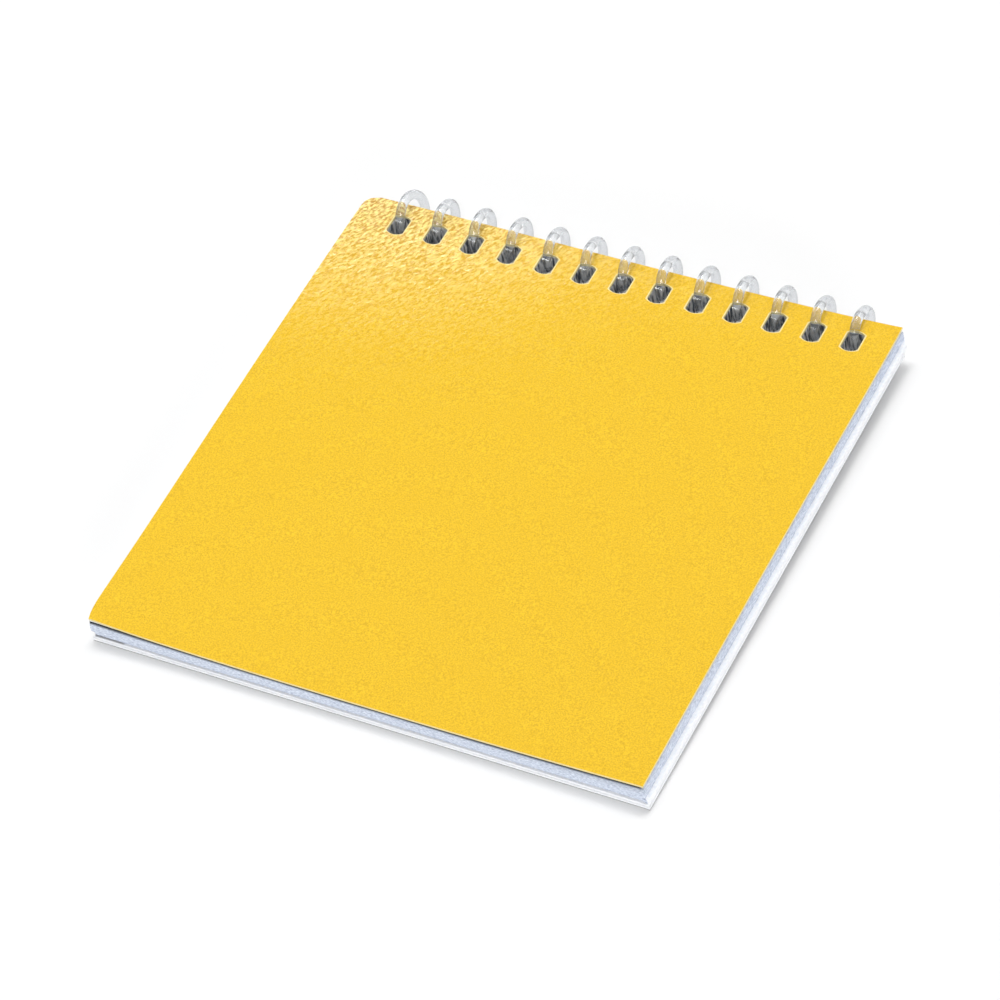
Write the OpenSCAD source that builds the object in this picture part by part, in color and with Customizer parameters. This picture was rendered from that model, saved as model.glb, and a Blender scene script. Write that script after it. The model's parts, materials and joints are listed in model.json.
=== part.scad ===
/* [Pad] */
// Width of the pad, along the coil
pad_w = 90; // [60:1:210]
// Length of the pad, from its bound edge to its fore-edge
pad_l = 90; // [60:1:300]
// Rounding of the worn corner of the front cover
worn_corner_r = 2.3; // [0.5:0.1:6]

/* [Layers] */
// Thickness of the laminated front cover
front_cover_t = 0.35; // [0.2:0.05:0.6]
// Thickness of the pressed block of pages
pages_t = 2.6; // [1.6:0.1:3]
// Thickness of the back cover
back_cover_t = 0.5; // [0.3:0.05:0.7]
// Thickness of the group of leaves that has slipped at the bottom of the block
slipped_t = 0.7; // [0.3:0.1:1.2]
// How far the slipped leaves and the back cover stand out of the block
slip = 0.3; // [0.1:0.05:1]
// Air between a cover and the pages
leaf_gap = 0.05; // [0.02:0.01:0.1]

/* [Punching] */
// Distance from hole to hole
hole_pitch = 6.35; // [6.35:0.05:8.5]
// Length of a hole, which is the diameter of its round ends
hole_l = 4; // [3.8:0.1:4.4]
// Width of a hole, between its two flats
hole_w = 2.8; // [2.4:0.1:3.4]
// Card left between the holes of the back cover and its bound edge
back_land = 0.9; // [0.8:0.05:1.2]
// Least distance from a side of the pad to a hole
side_margin = 5; // [4:0.5:12]
// How far the row of holes sits to the right of the middle
row_shift = 0.8; // [0:0.05:1]

/* [Coil] */
// Outer diameter of the coil
coil_d = 8.4; // [7.6:0.1:9]
// Diameter of its wire
wire_d = 1.5; // [0.9:0.05:1.55]
// Angle before the top of a loop at which its wire is in the middle of the holes
centred_at = 80; // [60:1:110]
// Clearance between the wire and the flats of a hole
flat_clear = 0.1; // [0.03:0.01:0.2]
// Clearance between the wire and the round end of a hole
end_clear = 0.2; // [0.1:0.01:0.25]
// How far round the bottom each end of the wire reaches
end_angle = 150; // [135:1:165]
// How far the left end of the wire is turned in, sideways
end_turn = 3; // [1.5:0.1:4]

/* [Hidden] */

// The pad is drawn with the coil's axis along X at zero and the block of pages centred on it
front_z = pages_t / 2 + leaf_gap;
back_z = -pages_t / 2 - leaf_gap - back_cover_t;
deepest = max(front_z + front_cover_t, -back_z);
coil_r = (coil_d - wire_d) / 2;
inner_r = coil_d / 2 - wire_d;
hole_y = -(sqrt(pow(inner_r, 2) - pow(deepest, 2)) + hole_l / 2 - end_clear);
// The back cover stops short of the bound edge, so that the turned front cover lies beside it
back_bound_y = hole_y + hole_l / 2 + back_land;
bound_y = -back_bound_y - leaf_gap;
fore_y = bound_y - pad_l;

hole_count = floor((pad_w - 2 * side_margin - hole_w) / hole_pitch) + 1;
first_hole_x = row_shift - (hole_count - 1) * hole_pitch / 2;
function hole_x(i) = first_hole_x + i * hole_pitch;

// The pad leans from its coil to its fore-edge, both of which touch the table
low_y = fore_y - slip;
lean = asin(coil_d / 2 / norm([low_y, back_z])) - atan2(-back_z, -low_y);
front_reach = -fore_y * cos(lean) + (front_z + front_cover_t) * sin(lean);
low_reach = -low_y * cos(lean) + back_z * sin(lean);
rest_y = (max(front_reach, low_reach) - coil_d / 2) / 2;

// Wire: sideways place in its hole, by the angle from the top of the loop
play = (hole_w - wire_d) / 2 - flat_clear;
free_angle = 91 + asin(deepest / coil_r);
function in_hole_x(a) = -play * sin(min(a + centred_at, 90));
free_slope = -play * cos(centred_at - free_angle) * (360 - 2 * free_angle) * PI / 180;
function ease(a, b, slope, u) = a + (b - a) * (3 * u * u - 2 * u * u * u) + slope * (u * u * u - u * u);
function crossing_x(u) = ease(in_hole_x(free_angle), in_hole_x(-free_angle) - hole_pitch, free_slope, u);
function end_x(a) =
    let (u = min(max(a, 0) / free_angle, 1), v = max(a - free_angle, 0) / (end_angle - free_angle))
    in_hole_x(a) + 2 * play * (3 * u * u - 2 * u * u * u) + (end_turn - play) * v * v;
function turn_x(a) =
    a > free_angle ? crossing_x((a - free_angle) / (360 - 2 * free_angle)) :
    a < -free_angle ? hole_pitch + crossing_x((a + 360 - free_angle) / (360 - 2 * free_angle)) :
    in_hole_x(a);
// A point of the wire's middle line: u runs from the right-hand hole, 360 degrees to a hole
last_turn = 360 * (hole_count - 1);
function wire_x(u) =
    let (i = floor((u + 180) / 360), a = u - 360 * i)
    u < -free_angle ? hole_x(hole_count - 1) + in_hole_x(-free_angle) :
    u > last_turn ? hole_x(0) + end_x(u - last_turn) :
    hole_x(hole_count - 1 - i) + turn_x(a);
function wire_point(u) = [wire_x(u), coil_r * sin(u), coil_r * cos(u)];
function unit(v) = v / norm(v);
wire_step = 10;
wire_sides = 10;
function wire_ring(u) =
    let (along = unit(wire_point(u + 1) - wire_point(u - 1)),
         side = unit(cross([0, sin(u), cos(u)], along)),
         out = cross(along, side))
    [for (k = [0:wire_sides - 1])
        wire_point(u) + wire_d / 2 * (cos(360 * k / wire_sides) * out + sin(360 * k / wire_sides) * side)];

module on_table() {
    translate([-slip / 2, rest_y, coil_d / 2])
        rotate([lean, 0, 0])
            children();
}

module hole() {
    intersection() {
        circle(d = hole_l, $fn = 64);
        square([hole_w, hole_l], center = true);
    }
}

module punched() {
    difference() {
        children();
        for (i = [0:hole_count - 1])
            translate([hole_x(i), hole_y])
                hole();
    }
}

module front_cover() {
    color("gold")
        on_table()
            translate([0, 0, front_z])
                linear_extrude(front_cover_t)
                    punched() {
                        translate([-pad_w / 2, fore_y])
                            square([pad_w, pad_l - worn_corner_r]);
                        translate([-pad_w / 2 + worn_corner_r, fore_y])
                            square([pad_w - worn_corner_r, pad_l]);
                        translate([-pad_w / 2 + worn_corner_r, bound_y - worn_corner_r])
                            circle(r = worn_corner_r, $fn = 64);
                    }
}

// The bound edge of the pages is rounded to stay inside the circle that they turn in
module turning_space() {
    rotate([90, 0, 90])
        linear_extrude(pad_w + 4 * slip, center = true) {
            translate([low_y, -pages_t / 2])
                square([-low_y, pages_t]);
            intersection() {
                circle(d = pages_t, $fn = 32);
                translate([-pages_t, -pages_t])
                    square([pages_t + bound_y, 2 * pages_t]);
            }
        }
}

module page_block() {
    color("gainsboro")
        on_table()
            intersection() {
                turning_space();
                union() {
                    translate([0, 0, -pages_t / 2 + slipped_t])
                        linear_extrude(pages_t - slipped_t)
                            punched()
                                translate([-pad_w / 2, fore_y])
                                    square([pad_w, pad_l]);
                    translate([0, 0, -pages_t / 2])
                        linear_extrude(slipped_t)
                            punched()
                                translate([-pad_w / 2 + slip, low_y])
                                    square([pad_w, pad_l]);
                }
            }
}

module back_cover() {
    color("white")
        on_table()
            translate([0, 0, back_z])
                linear_extrude(back_cover_t)
                    punched()
                        translate([-pad_w / 2 + slip, low_y])
                            square([pad_w, back_bound_y - low_y]);
}

module binding_coil() {
    angles = [-end_angle:wire_step:last_turn + end_angle];
    rings = [for (u = angles) wire_ring(u)];
    last = len(rings) - 1;
    color("lightgray", 0.6)
        on_table()
            polyhedron(
                points = [for (ring = rings) each ring],
                faces = concat(
                    [[for (k = [0:wire_sides - 1]) k]],
                    [for (i = [0:last - 1], k = [0:wire_sides - 1])
                        let (n = (k + 1) % wire_sides)
                        [i * wire_sides + n, i * wire_sides + k,
                         (i + 1) * wire_sides + k, (i + 1) * wire_sides + n]],
                    [[for (k = [wire_sides - 1:-1:0]) last * wire_sides + k]]
                )
            );
}

front_cover();
page_block();
back_cover();
binding_coil();
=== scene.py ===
import json

import bpy
import numpy as np
from mathutils import Matrix


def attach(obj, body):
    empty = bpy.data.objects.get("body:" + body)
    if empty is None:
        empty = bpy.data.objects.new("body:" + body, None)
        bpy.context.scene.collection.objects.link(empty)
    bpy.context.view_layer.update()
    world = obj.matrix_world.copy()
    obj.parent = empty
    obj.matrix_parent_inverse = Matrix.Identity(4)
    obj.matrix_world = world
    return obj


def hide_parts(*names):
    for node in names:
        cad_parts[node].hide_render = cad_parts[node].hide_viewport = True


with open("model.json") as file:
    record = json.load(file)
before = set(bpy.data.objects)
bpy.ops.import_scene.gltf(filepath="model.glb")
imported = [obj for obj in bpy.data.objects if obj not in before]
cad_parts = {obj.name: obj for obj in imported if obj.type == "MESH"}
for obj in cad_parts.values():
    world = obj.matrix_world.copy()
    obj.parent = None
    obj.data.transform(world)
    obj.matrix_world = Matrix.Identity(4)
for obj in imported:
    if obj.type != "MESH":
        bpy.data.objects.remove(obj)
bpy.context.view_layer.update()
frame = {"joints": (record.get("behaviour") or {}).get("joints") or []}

# The pad's own frame: millimetres, with the coil's axis along X at zero and the pages level.
# On the table the pad leans from its coil to its fore-edge, both of which touch the table.
MM = 0.001
coil_axis = np.array(frame["joints"][0]["pos_m"]) / MM
pad_w = 90
pad_l = 90
# How far the lower leaves and the back cover have slipped forwards
slip = 0.3
bound_y = 0.8166
fore_y = bound_y - pad_l
back_z = -1.85
coil_d = 8.4
low_y = fore_y - slip
lean = np.arcsin(coil_d / 2 / np.hypot(low_y, back_z)) - np.arctan2(-back_z, -low_y)
lean_turn = np.array([
    [1, 0, 0],
    [0, np.cos(lean), -np.sin(lean)],
    [0, np.sin(lean), np.cos(lean)],
])
pad_place = np.array([-slip / 2, coil_axis[1], coil_axis[2]])


def on_table(points):
    """Points of the pad's frame, leaned about the coil's axis and moved on to the table, in metres."""
    return (np.asarray(points) @ lean_turn.T + pad_place) * MM


# Camera: a long lens above the right front corner, rolled a little, as the photograph was taken.
# Its place was fitted to the pad's corners and its row of holes.
camera_azimuth = 35.287
camera_elevation = 47.237
camera_roll = -11.719
camera_distance = 717.19
camera_aim = np.array([1.887, -5.301, 4.093])
a, e, r = np.radians([camera_azimuth, camera_elevation, camera_roll])
back_axis = np.array([np.sin(a) * np.cos(e), -np.cos(a) * np.cos(e), np.sin(e)])
level_axis = np.array([np.cos(a), np.sin(a), 0])
upright_axis = np.cross(back_axis, level_axis)
camera_matrix = np.eye(4)
camera_matrix[:3, 0] = np.cos(r) * level_axis + np.sin(r) * upright_axis
camera_matrix[:3, 1] = np.cos(r) * upright_axis - np.sin(r) * level_axis
camera_matrix[:3, 2] = back_axis
camera_matrix[:3, 3] = (camera_aim + camera_distance * back_axis) * MM
camera_data = bpy.data.cameras.new("camera")
camera_data.sensor_width = 36
camera_data.lens = 177.5
camera_data.clip_end = 10
camera = bpy.data.objects.new("camera", camera_data)
bpy.context.scene.collection.objects.link(camera)
camera.matrix_world = Matrix(camera_matrix.tolist())
bpy.context.scene.camera = camera
bpy.context.scene.view_settings.view_transform = "Standard"

# Studio: a white table in grey surroundings. A high key at the left and behind and two broad softboxes
# throw the short shadows to the right and the front. A fill beside the camera lights the holes, a low
# one the cut edges, and a small panel behind glints in the cover's laminate.
def srgb(code):
    """The linear colour of an sRGB hex code, by the sRGB curve."""
    c = np.array([int(code[i:i + 2], 16) for i in (0, 2, 4)]) / 255
    linear = np.where(c <= 0.04045, c / 12.92, ((c + 0.055) / 1.055) ** 2.4)
    return (*linear.tolist(), 1.0)


def add(tree, kind, inputs=None, **settings):
    """Adds one node with its settings. inputs maps a socket to its value, or to the output that feeds it."""
    new = tree.nodes.new(kind)
    for name, value in settings.items():
        setattr(new, name, value)
    for name, value in (inputs or {}).items():
        socket = new.inputs[name]
        if isinstance(value, bpy.types.NodeSocket):
            tree.links.new(value, socket)
        else:
            socket.default_value = value
    return new


def new_material(name):
    """An empty material with its node tree: the caller adds a shader and links it to the output."""
    material = bpy.data.materials.new(name)
    material.use_nodes = True
    material.node_tree.nodes.clear()
    return material, material.node_tree


# The surroundings are pale up to 12 degrees above the horizon, where the clear wire bends its light
# from, and dark above 30 degrees, where the glossy cover mirrors them
pale_surroundings = 0.5
dark_surroundings = 0.17
world = bpy.data.worlds.new("studio")
bpy.context.scene.world = world
world.use_nodes = True
tree = world.node_tree
direction = add(tree, "ShaderNodeTexCoord").outputs["Generated"]
height = add(tree, "ShaderNodeSeparateXYZ", {0: direction}).outputs["Z"]
strength = add(tree, "ShaderNodeMapRange", {
    "Value": height, "From Min": 0.2, "From Max": 0.5,
    "To Min": pale_surroundings, "To Max": dark_surroundings}, interpolation_type="SMOOTHSTEP")
tree.links.new(strength.outputs[0], tree.nodes["Background"].inputs["Strength"])
tree.nodes["Background"].inputs["Color"].default_value = srgb("FFFFFF")

table_mesh = bpy.data.meshes.new("table")
table_half = 3.0
table_mesh.from_pydata(
    [(-table_half, -table_half, 0), (table_half, -table_half, 0),
     (table_half, table_half, 0), (-table_half, table_half, 0)], [], [(0, 1, 2, 3)])
table = bpy.data.objects.new("table", table_mesh)
bpy.context.scene.collection.objects.link(table)
table_white, tree = new_material("matt white table")
shader = add(tree, "ShaderNodeBsdfDiffuse", {"Color": srgb("EAEAEA")})
tree.links.new(shader.outputs[0], add(tree, "ShaderNodeOutputMaterial").inputs[0])
table_mesh.materials.append(table_white)


def softbox(name, azimuth, elevation, distance, size, power, mirrored=True):
    """A rectangular area light that faces the pad, its distance and size in metres and its power in watts.

    The azimuth goes from +Y towards -X, and the elevation up from the table, both in degrees. A light
    that is not mirrored does not show in glossy faces, which would glare when seen from behind."""
    a, e = np.radians([azimuth, elevation])
    outward = np.array([-np.sin(a) * np.cos(e), np.cos(a) * np.cos(e), np.sin(e)])
    across = np.cross([0, 0, 1], outward)
    across /= np.linalg.norm(across)
    matrix = np.eye(4)
    matrix[:3, :3] = np.array([across, np.cross(outward, across), outward]).T
    matrix[:3, 3] = outward * distance
    light = bpy.data.lights.new(name, "AREA")
    light.shape = "RECTANGLE"
    light.size, light.size_y = size
    light.energy = power
    lamp = bpy.data.objects.new(name, light)
    bpy.context.scene.collection.objects.link(lamp)
    lamp.matrix_world = Matrix(matrix.tolist())
    lamp.visible_glossy = mirrored


softbox("high key", 25, 73, 1.2, (0.4, 0.4), 6.6)
softbox("left soft", 92, 55, 1.2, (0.8, 0.8), 4.0)
softbox("rear soft", -18, 55, 1.2, (0.8, 0.8), 4.0)
softbox("front fill", -150, 50, 1.2, (0.3, 0.3), 2.2)
softbox("low fill", -140, 12, 1.2, (0.9, 0.15), 6.5, mirrored=False)
softbox("glint panel", 38, 38, 1.0, (0.4, 0.1), 0.4)

# Front cover: one sheet of yellow printed card under a clear glossy film, punched with a row of
# round holes with flat sides. It has taken a bend: its front corners lift off the pages, and its
# left bound corner is worn round and pressed down.
hole_count = 13
hole_pitch = 6.35
first_hole_x = -37.3
hole_x = first_hole_x + hole_pitch * np.arange(hole_count)
hole_y = -3.7666
hole_l = 4.0
hole_w = 2.8
cell_half_y = 2.8
cell_steps = 12
left_steps = 6
right_steps = 5
bound_steps = 3
ring_places = (0.22, 0.44, 0.66, 0.88, 1)


def punched_plan(left, right, fore, bound, rows, corner_r):
    """A flat sheet with the row of holes, as a grid of lines across and along.

    Round each hole, a square of 12 by 12 grid faces gives way to rings that pass from the square's
    outline to the hole's: at each angle the hole reaches the nearer of its flat and its round end.
    Returns the points, the faces, the outline and the holes' outlines, all counter-clockwise, and
    which of the faces are in the narrow ring at a hole."""
    cells_left = hole_x[0] - hole_pitch / 2
    cells_right = hole_x[-1] + hole_pitch / 2
    x = np.concatenate([
        np.linspace(left, cells_left, left_steps + 1)[:-1],
        np.linspace(cells_left, cells_right, hole_count * cell_steps + 1),
        np.linspace(cells_right, right, right_steps + 1)[1:]])
    y = np.concatenate([
        np.linspace(bound, hole_y + cell_half_y, bound_steps + 1)[:-1],
        np.linspace(hole_y + cell_half_y, hole_y - cell_half_y, cell_steps + 1),
        np.linspace(hole_y - cell_half_y, fore, rows + 1)[1:]])
    nx, ny = len(x), len(y)
    depth = np.clip(y - (bound - corner_r), 0, corner_r)
    inset = corner_r - np.sqrt(corner_r ** 2 - depth ** 2)
    margin = np.clip((cells_left - x) / (cells_left - left), 0, 1)
    grid = np.stack([x[None] + inset[:, None] * margin[None], np.broadcast_to(y[:, None], (ny, nx))], -1)
    index = np.arange(nx * ny).reshape(ny, nx)
    quads = np.stack([index[1:, :-1], index[1:, 1:], index[:-1, 1:], index[:-1, :-1]], -1)
    keep = np.ones((ny - 1, nx - 1), bool)
    keep[bound_steps:bound_steps + cell_steps, left_steps:left_steps + hole_count * cell_steps] = False
    # The outline of each square, counter-clockwise from its lower left corner
    j = bound_steps + np.concatenate([
        np.full(cell_steps, cell_steps), np.arange(cell_steps, 0, -1),
        np.zeros(cell_steps, int), np.arange(cell_steps)])
    i = left_steps + np.concatenate([
        np.arange(cell_steps), np.full(cell_steps, cell_steps),
        np.arange(cell_steps, 0, -1), np.zeros(cell_steps, int)])
    squares = index[j[None], i[None] + cell_steps * np.arange(hole_count)[:, None]]
    centres = np.stack([hole_x, np.full(hole_count, hole_y)], -1)[:, None]
    outer = grid.reshape(-1, 2)[squares] - centres
    angle = np.arctan2(outer[..., 1] / cell_half_y, outer[..., 0] / (hole_pitch / 2))
    reach = np.minimum(hole_l / 2, hole_w / 2 / np.maximum(np.abs(np.cos(angle)), 1e-6))
    inner = reach[..., None] * np.stack([np.cos(angle), np.sin(angle)], -1)
    t = np.array(ring_places)[None, :, None, None]
    rings = centres[:, None] + outer[:, None] * (1 - t) + inner[:, None] * t
    ring_index = nx * ny + np.arange(rings.size // 2).reshape(rings.shape[:3])
    loops = np.concatenate([squares[:, None], ring_index], 1)
    ahead = np.roll(loops, -1, 2)
    ring_quads = np.stack([loops[:, :-1], ahead[:, :-1], ahead[:, 1:], loops[:, 1:]], -1)
    points = np.concatenate([grid.reshape(-1, 2), rings.reshape(-1, 2)])
    faces = np.concatenate([quads[keep], ring_quads.reshape(-1, 4)])
    outline = np.concatenate([index[-1, :-1], index[:0:-1, -1], index[0, :0:-1], index[:-1, 0]])
    at_hole = np.zeros(ring_quads.shape[:3], bool)
    at_hole[:, -1] = True
    at_hole = np.concatenate([np.zeros(keep.sum(), bool), at_hole.reshape(-1)])
    used = np.zeros(len(points), bool)
    used[faces] = True
    renumber = np.cumsum(used) - 1
    return points[used], renumber[faces], renumber[outline], renumber[loops[:, -1]], at_hole


def wall_quads(rows):
    """Faces between each row of points and the next one under it, round a closed loop."""
    ahead = np.roll(rows, -1, -1)
    quads = np.stack([rows[..., :-1, :], rows[..., 1:, :], ahead[..., 1:, :], ahead[..., :-1, :]], -1)
    return quads.reshape(-1, 4)


def make_piece(name, points, faces, materials, slots, smooth_under=35):
    """A mesh object from points, in metres, and faces, each with the number of its material."""
    mesh = bpy.data.meshes.new(name)
    mesh.from_pydata(points.tolist(), [], faces.tolist())
    for material in materials:
        mesh.materials.append(material)
    mesh.polygons.foreach_set("material_index", np.asarray(slots, np.int32))
    mesh.polygons.foreach_set("use_smooth", np.ones(len(faces), bool))
    mesh.set_sharp_from_angle(angle=np.radians(smooth_under))
    piece = bpy.data.objects.new(name, mesh)
    bpy.context.scene.collection.objects.link(piece)
    return piece


def toward_corner(x, y, side, end, power):
    """From 0 to 1 towards one corner: the product of the two distances from its far sides, to a power."""
    u = (1 + side * x / (pad_w / 2)) / 2
    v = (1 + end * ((y - fore_y) / (pad_w / 2) - 1)) / 2
    return (np.clip(u, 0, 1) * np.clip(v, 0, 1)) ** power


def side_bow(x, y):
    """The card and leaves curl up to both sides, most halfway along: u u (0.5 + 0.15 u + 0.4 (1 - v v))."""
    u = x / (pad_w / 2)
    v = (y - fore_y) / (pad_w / 2) - 1
    return u * u * (0.5 + 0.15 * u + 0.4 * (1 - v * v))


def cover_rise(x, y):
    """How far the cover stands above its pressed place: bowed, right corners up, worn corner down."""
    front_right = 0.55 * toward_corner(x, y, 1, -1, 1.5)
    bound_right = 0.35 * toward_corner(x, y, 1, 1, 12)
    front_left = 0.9 * toward_corner(x, y, -1, -1, 10)
    worn = 0.34 * toward_corner(x, y, -1, 1, 8)
    return side_bow(x, y) + front_right + bound_right + front_left - worn


def page_top_rise(x, y):
    """The leaves fan out under the cover, but stay a little behind it at the corners that stick up."""
    gaps = 0.2 * toward_corner(x, y, 1, 1, 12) + 0.45 * toward_corner(x, y, -1, -1, 14)
    return cover_rise(x, y) - gaps


def blunted(xy, depth):
    """The left front corner, bumped: its points go to the right by depth at the corner, fading in 2 mm."""
    x, y = xy.T
    return np.column_stack([x + depth * toward_corner(x, y, -1, -1, 50), y])


def punched_card(name, plan, top, bottom, bevels, materials, face_slots):
    """A thin card: its top and bottom follow two height functions, with bevels at the cut edge.

    bevels: how far the top and the bottom are set in, in mm, and where the bevels end, as shares of
    the thickness from below."""
    xy, faces, outline, holes, at_hole = plan
    n = len(xy)
    upper = np.column_stack([xy, top(xy[:, 0], xy[:, 1])])
    lower = np.column_stack([xy, bottom(xy[:, 0], xy[:, 1])])
    rim = xy[outline]
    inward = np.roll(rim, -1, 0) - np.roll(rim, 1, 0)
    inward = np.column_stack([-inward[:, 1], inward[:, 0]])
    inward /= np.linalg.norm(inward, axis=1)[:, None]
    upper[outline, :2] += bevels[0] * inward
    lower[outline, :2] += bevels[1] * inward
    thick = top(rim[:, 0], rim[:, 1]) - bottom(rim[:, 0], rim[:, 1])
    middle = [np.column_stack([rim, bottom(rim[:, 0], rim[:, 1]) + thick * t]) for t in bevels[2:]]
    points = np.concatenate([upper, lower, *middle])
    rows = np.stack([outline, 2 * n + np.arange(len(outline)),
                     2 * n + len(outline) + np.arange(len(outline)), n + outline])
    edge = wall_quads(rows)
    hole_edge = wall_quads(np.stack([holes, n + holes], 1))[:, ::-1]
    all_faces = np.concatenate([faces, n + faces[:, ::-1], edge, hole_edge])
    top_slots = np.where(at_hole, face_slots[1], face_slots[0])
    slots = np.concatenate([top_slots, np.repeat(face_slots[2:], [len(faces), len(edge), len(hole_edge)])])
    return make_piece(name, on_table(points), all_faces, materials, slots)


# Offset-printed card under a clear glossy film of polypropylene: a fine yellow grain, broad changes of
# tone, and a coat that mirrors the lights. At the worn corner and along the coil the film is bumped in
# slanting wrinkles, and streaks of pale and dark ochre across them paint its glints and shade.
yellow_laminate, tree = new_material("yellow card under clear laminate")
where = add(tree, "ShaderNodeTexCoord").outputs["Object"]
fine_grain = add(tree, "ShaderNodeTexNoise", {"Vector": where, "Scale": 1 / (0.23 * MM), "Detail": 2})
fine_spread = add(tree, "ShaderNodeMapRange", {
    "Value": fine_grain.outputs["Fac"], "From Min": 0.3, "From Max": 0.7})
broad_tone = add(tree, "ShaderNodeTexNoise", {"Vector": where, "Scale": 1 / (7 * MM), "Detail": 2})
tone = add(tree, "ShaderNodeMix", {
    "Factor": fine_spread.outputs[0], "A": srgb("CFA124"), "B": srgb("F8CE2E")}, data_type="RGBA")
broad_weight = add(tree, "ShaderNodeMath", {0: broad_tone.outputs["Fac"], 1: 0.5}, operation="MULTIPLY")
yellow = add(tree, "ShaderNodeMix", {
    "Factor": broad_weight.outputs[0], "A": tone.outputs[2], "B": srgb("E3B622")}, data_type="RGBA")
crinkle_and_glints = add(tree, "ShaderNodeAttribute", attribute_name="crinkle_and_glints").outputs["Fac"]
stretched = add(tree, "ShaderNodeMapping", {
    "Vector": where, "Rotation": (0, 0, np.radians(57)), "Scale": (2, 1, 1)}, vector_type="TEXTURE")
# Painted glints and shade: streaks of pale and dark ochre, weighted by the wrinkles, go into the film's
# colour
glint_streaks = add(tree, "ShaderNodeTexNoise", {
    "Vector": stretched.outputs[0], "Scale": 1 / (0.4 * MM), "Detail": 2, "Distortion": 0.6})
glint_spread = add(tree, "ShaderNodeMapRange", {
    "Value": glint_streaks.outputs["Fac"], "From Min": 0.4, "From Max": 0.6})
painted_glints = add(tree, "ShaderNodeMix", {
    "Factor": glint_spread.outputs[0], "A": srgb("BC8400"), "B": srgb("FFEE98")}, data_type="RGBA")
painted_glint_weight = add(tree, "ShaderNodeMath", {0: crinkle_and_glints, 1: 0.65}, operation="MULTIPLY")
film_colour = add(tree, "ShaderNodeMix", {
    "Factor": painted_glint_weight.outputs[0], "A": yellow.outputs[2], "B": painted_glints.outputs[2]}, data_type="RGBA")
lumps = add(tree, "ShaderNodeTexNoise", {
    "Vector": stretched.outputs[0], "Scale": 1 / (0.8 * MM), "Detail": 3, "Roughness": 0.6,
    "Distortion": 0.4})
lump_height = add(tree, "ShaderNodeMath", {0: lumps.outputs["Fac"], 1: crinkle_and_glints}, operation="MULTIPLY")
orange_peel = add(tree, "ShaderNodeTexNoise", {"Vector": where, "Scale": 1 / (0.7 * MM), "Detail": 2})
peel_bump = add(tree, "ShaderNodeBump", {
    "Height": orange_peel.outputs["Fac"], "Strength": 0.25, "Distance": 0.05 * MM})
film_bump = add(tree, "ShaderNodeBump", {
    "Height": lump_height.outputs[0], "Strength": 1.0, "Distance": 0.3 * MM,
    "Normal": peel_bump.outputs[0]})
film = add(tree, "ShaderNodeBsdfPrincipled", {
    "Base Color": film_colour.outputs[2], "Roughness": 0.7, "Specular IOR Level": 0.1,
    "Coat Weight": 1.0, "Coat Roughness": 0.08, "Coat IOR": 1.5,
    "Normal": film_bump.outputs[0], "Coat Normal": film_bump.outputs[0]})
tree.links.new(film.outputs[0], add(tree, "ShaderNodeOutputMaterial").inputs[0])

# Bleached board, pressed smooth: matt and nearly white, with a faint cloudiness of its fibres
card_core, tree = new_material("white card core")
where = add(tree, "ShaderNodeTexCoord").outputs["Object"]
fibre = add(tree, "ShaderNodeTexNoise", {"Vector": where, "Scale": 1 / (0.3 * MM), "Detail": 3})
tone = add(tree, "ShaderNodeMix", {
    "Factor": fibre.outputs["Fac"], "A": srgb("EEF1F6"), "B": srgb("FCFDFF")}, data_type="RGBA")
card = add(tree, "ShaderNodeBsdfPrincipled", {"Base Color": tone.outputs[2], "Roughness": 0.85})
tree.links.new(card.outputs[0], add(tree, "ShaderNodeOutputMaterial").inputs[0])

# The same board where the knife and the punch have cut it: fibres stained by the yellow ink
cut_edge, tree = new_material("cut edge of laminated card")
where = add(tree, "ShaderNodeTexCoord").outputs["Object"]
fibre = add(tree, "ShaderNodeTexNoise", {"Vector": where, "Scale": 1 / (0.3 * MM), "Detail": 3})
tone = add(tree, "ShaderNodeMix", {
    "Factor": fibre.outputs["Fac"], "A": srgb("DDC97E"), "B": srgb("EFDFA6")}, data_type="RGBA")
card = add(tree, "ShaderNodeBsdfPrincipled", {"Base Color": tone.outputs[2], "Roughness": 0.6})
tree.links.new(card.outputs[0], add(tree, "ShaderNodeOutputMaterial").inputs[0])

front_cover_t = 0.35
worn_corner_r = 2.3
cover_blunting = 0.7
pages_t = 2.6
leaf_gap = 0.05
front_z = pages_t / 2 + leaf_gap
rows_along = 80
cover_plan = punched_plan(-pad_w / 2, pad_w / 2, fore_y, bound_y, rows_along, worn_corner_r)
cover_plan = (blunted(cover_plan[0], cover_blunting), *cover_plan[1:])
front_cover = punched_card(
    "front_cover_card", cover_plan,
    lambda x, y: front_z + front_cover_t + cover_rise(x, y),
    lambda x, y: front_z + cover_rise(x, y),
    (0.06, 0.06, 0.8, 0.2), [yellow_laminate, card_core, cut_edge], [0, 2, 1, 2, 2])
xy, outline = cover_plan[0], cover_plan[2]
points = np.concatenate([xy, xy, xy[outline], xy[outline]])
# The film is wrinkled at the worn corner, over 30 by 21 mm, and more faintly along the coil. The same
# weights bump the film and paint its glints and shade.
corner_distance = np.hypot((points[:, 0] + pad_w / 2) / 30, (points[:, 1] - bound_y) / 21)
row_distance = np.hypot((points[:, 0] + pad_w / 2) / 60, (points[:, 1] - bound_y) / 8)
crinkle_and_glint_amounts = np.exp(-corner_distance ** 2) + 0.35 * np.exp(-row_distance ** 2) + 0.02
values = front_cover.data.attributes.new("crinkle_and_glints", "FLOAT", "POINT").data
values.foreach_set("value", crinkle_and_glint_amounts.astype(np.float32))
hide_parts("front_cover")
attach(front_cover, "front")

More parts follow.
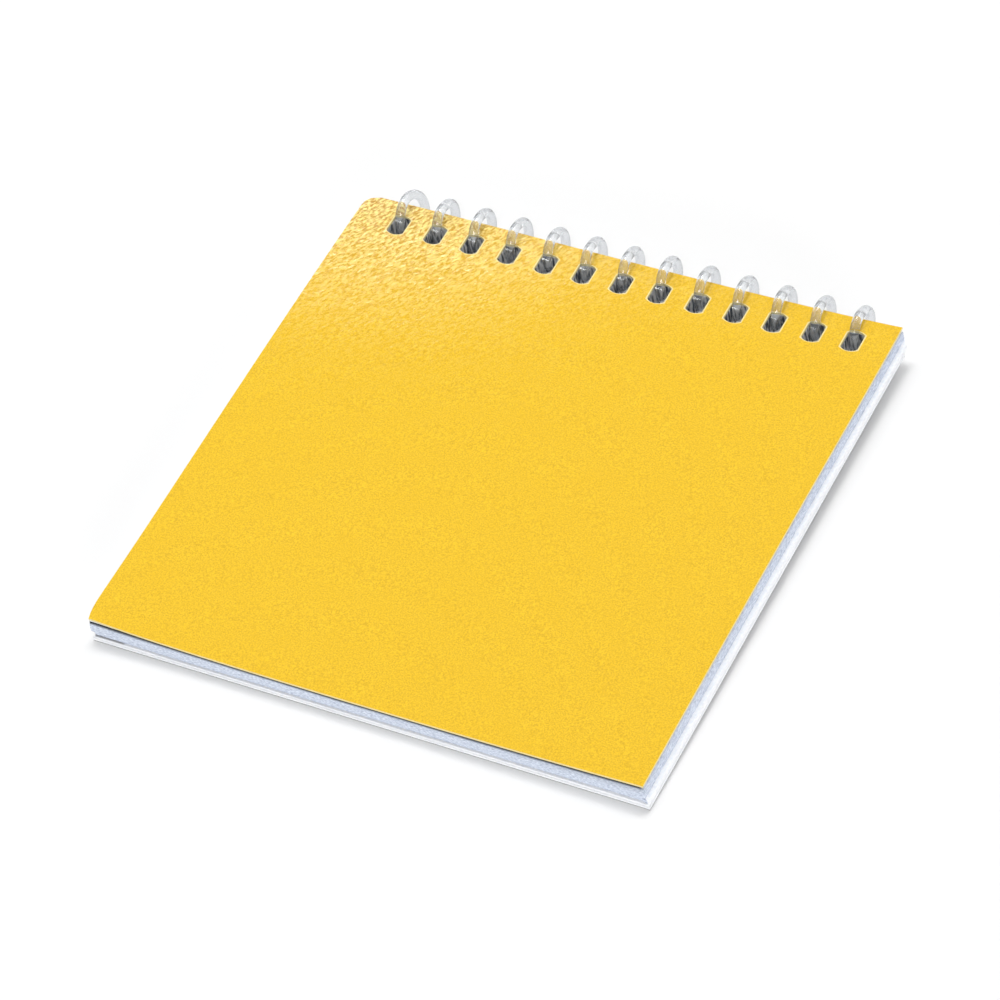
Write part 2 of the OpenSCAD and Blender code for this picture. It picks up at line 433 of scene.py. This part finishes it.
# Pages: a block of thin uncoated leaves, trimmed together. The leaves' edges are painted a darker bluish
# grey, painted shade of the block's side. The lower ones have slipped a little to the right, and the lowest
# ones, with white edges, also forwards.
aside_t = 0.95
low_t = 0.36
right_slip = 0.6
fore_x_open = -39.0
leaf_t = 0.1
leaf_draws = 60
edge_rows = 78
page_corner_r = 0.4
page_blunting = 0.5
page_plan = punched_plan(-pad_w / 2, pad_w / 2, fore_y, bound_y, rows_along, page_corner_r)
page_plan = (blunted(page_plan[0], page_blunting), *page_plan[1:])


def under_cover(rim, outward, level):
    """How deep in the cover's shadow the edge is: 1 under the cover, fading in 0.4 mm down.

    Where the cover lifts, at the right front corner, a fainter shadow reaches 0.8 mm down. At the
    sides the leaves reach the cover's edge, so that the shadow is only a fifth as strong."""
    depth = level[:, None] * pages_t
    lifted = toward_corner(rim[:, 0], rim[:, 1], 1, -1, 3)[None]
    shadow = np.maximum(np.exp(-(depth / 0.42) ** 4), 0.4 * lifted * np.exp(-(depth / 0.8) ** 2))
    return np.where(outward[:, 1] < -0.5, 1, 0.2)[None] * shadow


def over_low_leaves(rim, outward, level):
    """The painted shade line over the lowest leaves along the fore-edge, also set back a little: faint, but
    open for 6 mm at its left end.
    """
    at = level[:, None] - (pages_t - low_t) / pages_t
    left_end = np.clip((fore_x_open - rim[:, 0]) / 0.3, 0, 1)
    strength = (0.2 + 0.45 * left_end) * (outward[:, 1] < -0.5)
    return strength[None] * np.exp(-(at / 0.025) ** 2)


def leaf_edges(rim, outward, level):
    """The trimmed edge of the block at each level from 0, the top, to 1, the bottom.

    Each leaf's edge is a low round ridge. Leaves lie a few hundredths of a millimetre in or out, by a
    fixed random walk, and wander along the edge. Under the block the slipped leaves stand out to the
    right, and the lowest of them also forwards."""
    rng = np.random.default_rng(7)
    depth = level * pages_t
    leaf = (depth / leaf_t).astype(int)
    ridge = 0.035 * (np.sin(np.pi * (depth / leaf_t % 1)) ** 0.5 - 1)
    in_out = np.cumsum(rng.normal(0, 0.02, leaf_draws))
    in_out -= np.linspace(0, in_out[-1], leaf_draws)
    phase = rng.uniform(0, 2 * np.pi, (leaf_draws, 3))
    along = rim[:, 0] * 0.11 + rim[:, 1] * 0.13
    wander = sum(0.012 * np.sin((k + 1) * along[None] + phase[leaf, k][:, None]) for k in range(3))
    offset = (ridge + in_out[leaf])[:, None] + wander
    offset = offset - 0.15 * under_cover(rim, outward, level) - 0.15 * over_low_leaves(rim, outward, level)
    aside = (depth > pages_t - aside_t)[:, None] * right_slip * np.clip(outward[:, 0], -1, 1)
    forwards = (depth > pages_t - low_t)[:, None] * slip * np.clip(-outward[:, 1], -1, 1)
    return np.minimum(offset, 0.0) - 0.01 + aside + forwards


xy, faces, outline, holes, at_hole = page_plan
n = len(xy)
spine = np.sqrt(np.maximum((pages_t / 2) ** 2 - np.maximum(xy[:, 1], 0) ** 2, 0))
upper = np.column_stack([xy, spine + page_top_rise(xy[:, 0], xy[:, 1])])
lower = np.column_stack([xy, -spine])
rim = xy[outline]
turn = np.roll(rim, -1, 0) - np.roll(rim, 1, 0)
outward = np.column_stack([turn[:, 1], -turn[:, 0]])
outward /= np.linalg.norm(outward, axis=1)[:, None]
level = (np.arange(edge_rows) + 0.5) / edge_rows
offset = leaf_edges(rim, outward, level)
edge_xy = rim[None] + offset[..., None] * outward[None]
edge_top, edge_bottom = upper[outline, 2], lower[outline, 2]
edge_z = edge_top[None] + (edge_bottom - edge_top)[None] * level[:, None]
edge_points = np.concatenate([edge_xy, edge_z[..., None]], -1).reshape(-1, 3)
upper[outline, :2] = edge_xy[0] - 0.02 * outward
lower[outline, :2] = edge_xy[-1] - 0.02 * outward
edge_index = 2 * n + np.arange(len(edge_points)).reshape(edge_rows, -1)
edge_faces = wall_quads(np.concatenate([outline[None], edge_index, n + outline[None]]))
edge_level = np.repeat((np.arange(edge_rows + 1) + 0.5) / edge_rows, len(outline))
white_t = np.tile(np.where(outward[:, 1] < -0.5, low_t, aside_t), edge_rows + 1)
hole_faces = wall_quads(np.stack([holes, n + holes], 1))[:, ::-1]

# Wood-free uncoated paper: matt, with soft clouds of fibre and a barely rough surface
page_white, tree = new_material("uncoated white paper")
where = add(tree, "ShaderNodeTexCoord").outputs["Object"]
fibre = add(tree, "ShaderNodeTexNoise", {"Vector": where, "Scale": 1 / (0.8 * MM), "Detail": 4})
tone = add(tree, "ShaderNodeMix", {
    "Factor": fibre.outputs["Fac"], "A": srgb("F0F0F0"), "B": srgb("FBFBFB")}, data_type="RGBA")
bump = add(tree, "ShaderNodeBump", {"Height": fibre.outputs["Fac"], "Strength": 0.2, "Distance": 0.03 * MM})
paper = add(tree, "ShaderNodeBsdfPrincipled", {
    "Base Color": tone.outputs[2], "Roughness": 0.9, "Normal": bump.outputs[0]})
tree.links.new(paper.outputs[0], add(tree, "ShaderNodeOutputMaterial").inputs[0])


def cut_paper(name, dark, light, streak=(0.4, 0.4, 1), width=0.2, softness=0.2):
    """Leaf edges: streaks from stretched noise, as wide as given in mm, and painted nearly black where a
    point attribute paints shade.

    The softness is half the range of the noise that passes from the dark colour to the light one."""
    material, tree = new_material(name)
    where = add(tree, "ShaderNodeTexCoord").outputs["Object"]
    stretched = add(tree, "ShaderNodeMapping", {"Vector": where, "Scale": streak})
    streaks = add(tree, "ShaderNodeTexNoise", {
        "Vector": stretched.outputs[0], "Scale": 1 / (width * MM), "Detail": 3})
    spread = add(tree, "ShaderNodeMapRange", {
        "Value": streaks.outputs["Fac"], "From Min": 0.5 - softness, "From Max": 0.5 + softness})
    tone = add(tree, "ShaderNodeMix", {
        "Factor": spread.outputs[0], "A": srgb(dark), "B": srgb(light)}, data_type="RGBA")
    # Painted shade: where the point attribute is high, the edge is painted nearly black
    painted_shade = add(tree, "ShaderNodeAttribute", attribute_name="painted_shade").outputs["Fac"]
    tone = add(tree, "ShaderNodeMix", {
        "Factor": painted_shade, "A": tone.outputs[2], "B": srgb("17181B")}, data_type="RGBA")
    shader = add(tree, "ShaderNodeBsdfPrincipled", {"Base Color": tone.outputs[2], "Roughness": 0.9})
    tree.links.new(shader.outputs[0], add(tree, "ShaderNodeOutputMaterial").inputs[0])
    return material


# Stacked edges of cut paper are matt, in streaks of darker and lighter tone. The thin leaves' edges are
# painted a darker bluish grey, painted shade of the block's side, the lowest ones' edges are white, and in
# the holes upright streaks of dark slate and white paint the shade in the holes.
# Painted shade of the block's side: the thin leaves' edges are a darker bluish grey than the white ones
thin_leaf_edges_shaded = cut_paper("trimmed edges of thin leaves, painted shade", "AEB8CC", "E8EFFB")
white_edges = cut_paper("trimmed edges of white leaves", "F0F3F9", "FFFFFF")
# Painted shade in the holes: the punched walls are streaked upright in dark slate and white
punched_edges_shaded = cut_paper("punched edges of leaves, painted shade", "545B66", "FFFFFF", (1, 1, 0.2), 0.5, 0.08)
page_block = make_piece(
    "page_leaves",
    on_table(np.concatenate([upper, lower, edge_points])),
    np.concatenate([faces, n + faces[:, ::-1], edge_faces, hole_faces]),
    [page_white, thin_leaf_edges_shaded, white_edges, punched_edges_shaded],
    np.concatenate([
        np.zeros(2 * len(faces)),
        np.where(edge_level * pages_t > pages_t - white_t, 2, 1),
        np.full(len(hole_faces), 3)]))
# Painted shade on the leaf edges: under the cover, over the lowest leaves, and along the block's top edge, a
# fifth as strong at the sides
painted_shade = np.maximum(under_cover(rim, outward, level), over_low_leaves(rim, outward, level))
painted_shade = np.concatenate([np.zeros(2 * n), painted_shade.reshape(-1)])
painted_shade[outline] = np.where(outward[:, 1] < -0.5, 1, 0.2)
page_block.data.attributes.new("painted_shade", "FLOAT", "POINT").data.foreach_set("value", painted_shade.astype(np.float32))
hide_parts("page_block")
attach(page_block, "pages")

# Back cover: one sheet of smooth white card, punched with the same row of holes and cut off short
# of the bound edge. Where it meets the table, its cut edge is painted dark, a painted contact shadow.
back_cover_t = 0.5
back_corner_r = 0.1
back_plan = punched_plan(
    -pad_w / 2 + right_slip, pad_w / 2 + right_slip, low_y, -bound_y - leaf_gap, rows_along, back_corner_r)
back_cover = punched_card(
    "back_cover_card", back_plan,
    lambda x, y: back_z + back_cover_t + 0 * x,
    lambda x, y: back_z + 0 * x,
    (0.06, 0.05, 0.85, 0.35), [card_core, white_edges, punched_edges_shaded], [0, 0, 0, 1, 2])
# Painted contact shadow: the lower outline of the card's cut edge is painted nearly black
painted_shade = np.zeros(len(back_cover.data.vertices))
painted_shade[len(back_plan[0]) + back_plan[2]] = 1
back_cover.data.attributes.new("painted_shade", "FLOAT", "POINT").data.foreach_set("value", painted_shade.astype(np.float32))
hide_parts("back_cover")
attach(back_cover, "back")

# Binding coil: one clear PVC wire, wound warm on a rod, screwed through the holes and cut, with its
# left end turned in. Over the top each loop is nearly upright, and it crosses to the next hole below.
wire_d = 1.5
coil_r = (coil_d - wire_d) / 2
# Clearance between the wire and the flats of a hole
flat_clear = 0.1
play = (hole_w - wire_d) / 2 - flat_clear
centred_at = 80
end_angle = 150
end_turn = 3.0
# The bowed cover reaches this far from the axis, and the wire keeps to its holes up to there
deepest = 2.3
free_angle = 91 + np.degrees(np.arcsin(deepest / coil_r))
last_turn = 360 * (hole_count - 1)
wire_step = 5
wire_sides = 24


def in_hole_x(a):
    """Where the wire lies across its hole, by the angle from the top of its loop: a sine, then level."""
    return -play * np.sin(np.radians(np.minimum(a + centred_at, 90)))


def crossing_x(u):
    """The way under the pad to the next hole on the left: a cubic that meets both loops smoothly."""
    a, b = in_hole_x(free_angle), in_hole_x(-free_angle) - hole_pitch
    slope = -play * np.cos(np.radians(centred_at - free_angle)) * np.radians(360 - 2 * free_angle)
    return a + (b - a) * (3 * u ** 2 - 2 * u ** 3) + slope * (u ** 3 - u ** 2)


def wire_middle(u):
    """The wire's middle line: 360 degrees of u to a hole, from the right-hand hole to the left-hand one."""
    i = np.floor((u + 180) / 360)
    a = u - 360 * i
    span = 360 - 2 * free_angle
    before = hole_pitch + crossing_x((a + 360 - free_angle) / span)
    x = np.where(a < -free_angle, before, in_hole_x(a))
    x = np.where(a > free_angle, crossing_x((a - free_angle) / span), x)
    x = hole_x[-1] - hole_pitch * i + x
    x = np.where(u < -free_angle, hole_x[-1] + in_hole_x(-free_angle), x)
    left = u - last_turn
    ramp = np.clip(left / free_angle, 0, 1)
    tail = np.clip((left - free_angle) / (end_angle - free_angle), 0, 1)
    across = 2 * play * (3 * ramp ** 2 - 2 * ramp ** 3)
    x = np.where(left > 0, hole_x[0] + in_hole_x(left) + across + (end_turn - play) * tail ** 2, x)
    r = np.radians(u)
    return np.stack([x, coil_r * np.sin(r), coil_r * np.cos(r)], -1)


def swept_wire(u, radius):
    """A ring of points round each place on the middle line, square to it."""
    middle = wire_middle(u)
    along = wire_middle(u + 0.5) - wire_middle(u - 0.5)
    along /= np.linalg.norm(along, axis=1)[:, None]
    r = np.radians(u)
    side = np.cross(np.stack([0 * r, np.sin(r), np.cos(r)], -1), along)
    side /= np.linalg.norm(side, axis=1)[:, None]
    out = np.cross(along, side)
    turn = np.linspace(0, 2 * np.pi, wire_sides, endpoint=False)
    ring = np.cos(turn)[None, :, None] * out[:, None] + np.sin(turn)[None, :, None] * side[:, None]
    return middle[:, None] + radius[:, None, None] * ring


wire_u = np.arange(-end_angle, last_turn + end_angle + 0.1, wire_step)
end_round = np.array([0.25, 0.8, 2.0])
wire_u = np.concatenate([
    [wire_u[0]], wire_u[0] + end_round, wire_u[1:-1], wire_u[-1] - end_round[::-1], [wire_u[-1]]])
wire_radius = np.full(len(wire_u), wire_d / 2)
wire_radius[:3] = wire_d / 2 * np.array([0.8, 0.92, 0.985])
wire_radius[-3:] = wire_radius[2::-1]
rings = swept_wire(wire_u, wire_radius)
index = np.arange(rings.size // 3).reshape(rings.shape[:2])
ahead = np.roll(index, -1, 1)
sides = np.stack([index[1:], ahead[1:], ahead[:-1], index[:-1]], -1).reshape(-1, 4).tolist()
coil_mesh = bpy.data.meshes.new("binding_wire")
ends = [index[0].tolist(), index[-1, ::-1].tolist()]
coil_mesh.from_pydata(on_table(rings.reshape(-1, 3)).tolist(), [], sides + ends)
coil_mesh.polygons.foreach_set("use_smooth", np.ones(len(coil_mesh.polygons), bool))
coil_mesh.set_sharp_from_angle(angle=np.radians(50))
binding_wire = bpy.data.objects.new("binding_wire", coil_mesh)
bpy.context.scene.collection.objects.link(binding_wire)

# Drawn PVC without pigment: it bends the light of what is behind it, its skin is smooth but slightly
# rippled, and its length of clouded plastic greys the outline
clear_pvc, tree = new_material("clear PVC")
where = add(tree, "ShaderNodeTexCoord").outputs["Object"]
ripple = add(tree, "ShaderNodeTexNoise", {"Vector": where, "Scale": 1 / (3 * MM), "Detail": 1})
bump = add(tree, "ShaderNodeBump", {"Height": ripple.outputs["Fac"], "Strength": 0.15, "Distance": 0.2 * MM})
facing = add(tree, "ShaderNodeLayerWeight", {"Blend": 0.25}).outputs["Facing"]
tint = add(tree, "ShaderNodeMix", {
    "Factor": facing, "A": srgb("F4F6F8"), "B": srgb("858C96")}, data_type="RGBA")
pvc = add(tree, "ShaderNodeBsdfPrincipled", {
    "Base Color": tint.outputs[2], "Roughness": 0.03, "IOR": 1.53, "Transmission Weight": 0.95,
    "Normal": bump.outputs[0]})
tree.links.new(pvc.outputs[0], add(tree, "ShaderNodeOutputMaterial").inputs[0])
coil_mesh.materials.append(clear_pvc)
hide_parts("binding_coil")
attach(binding_wire, "back")
